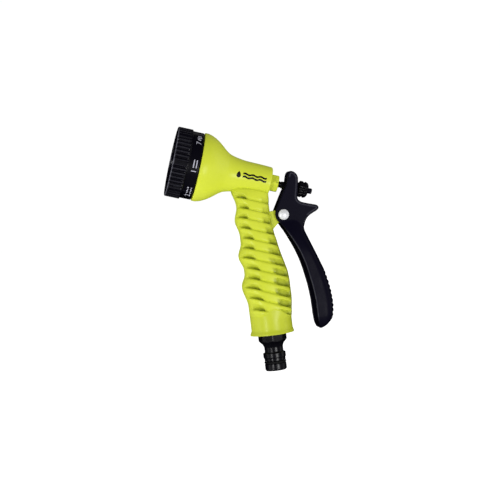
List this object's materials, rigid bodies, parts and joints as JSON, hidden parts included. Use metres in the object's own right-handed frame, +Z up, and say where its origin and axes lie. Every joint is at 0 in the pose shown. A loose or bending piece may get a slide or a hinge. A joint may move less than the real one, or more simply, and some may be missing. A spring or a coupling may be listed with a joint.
{
  "type": "hose spray nozzle",
  "caption": "Trigger spray gun for a garden hose: round pattern dial on a tilted barrel, ribbed pistol grip, rear squeeze lever, adjuster knob and quick-connect inlet nipple.",
  "frame": {"origin": "centre of the inlet nipple's lower end face, where a hose connector seats; it lies in the mouth of the nipple's bore", "axes": "+Z up along the nipple and the grip, -X towards the spray, +X towards the squeeze lever, Y across the symmetric body"},
  "size_m": [0.1217, 0.055, 0.1986],
  "materials": {
    "yellow_abs": "lime-yellow moulded ABS, satin gloss",
    "dial_black": "black moulded ABS, fine satin, pale printed marks on the band",
    "black_abs": "black moulded plastic, satin",
    "core_black": "black moulded acetal",
    "tube_white": "natural polypropylene tube",
    "steel": "stainless steel",
    "pin_steel": "polished steel",
    "brass": "turned brass",
    "rubber": "black nitrile rubber"
  },
  "bodies": {
    "body": {"body_shell": "yellow_abs", "gland_nut": "yellow_abs", "gland_oring": "rubber", "spring_washer": "brass", "valve_seat": "brass", "distributor": "core_black", "distributor_oring": "rubber", "port_seal": "rubber", "port_spring": "steel", "detent_spring": "steel", "face_screw": "steel", "face_washer": "steel", "flow_tube": "tube_white", "flow_tube_oring": "rubber", "inlet_gasket": "rubber", "inlet_nipple": "black_abs", "nipple_oring": "rubber", "pivot_pin": "pin_steel", "pivot_clip": "steel", "return_spring": "steel"},
    "dial": {"dial_ring": "dial_black", "spray_face": "dial_black"},
    "lever": {"trigger_lever": "black_abs"},
    "stem": {"valve_stem": "black_abs", "valve_washer": "rubber", "stem_end_nut": "black_abs"},
    "knob": {"adjuster_knob": "black_abs"},
    "ball": {"detent_ball": "steel"}
  },
  "joints": [
    {"name": "dial_turn", "type": "hinge", "parent": "body", "child": "dial", "pos_m": [-0.05255, 0, 0.16954], "axis": [-0.9455, 0, 0.3256], "continuous": true},
    {"name": "trigger_squeeze", "type": "hinge", "parent": "body", "child": "lever", "pos_m": [0.0194, 0, 0.1208], "axis": [0, 1, 0], "range_deg": [0, 10], "stiffness_Nm_per_rad": 0.8, "springref_deg": -14.32},
    {"name": "stem_slide", "type": "slide", "parent": "body", "child": "stem", "axis": [0.9455, 0, -0.3256], "range_m": [0, 0.004], "deforming": ["return_spring"]},
    {"name": "knob_turn", "type": "hinge", "parent": "stem", "child": "knob", "pos_m": [0.03728, 0, 0.13861], "axis": [0.9455, 0, -0.3256], "continuous": true},
    {"name": "detent_slide", "type": "slide", "parent": "body", "child": "ball", "axis": [0.9455, 0, -0.3256], "range_m": [0, 0.0005], "stiffness_N_per_m": 8, "springref_m": -0.001, "deforming": ["detent_spring"]}
  ],
  "couplings": [
    {"joint": "stem_slide", "follows": "trigger_squeeze", "m_per_rad": 0.0227}
  ]
}
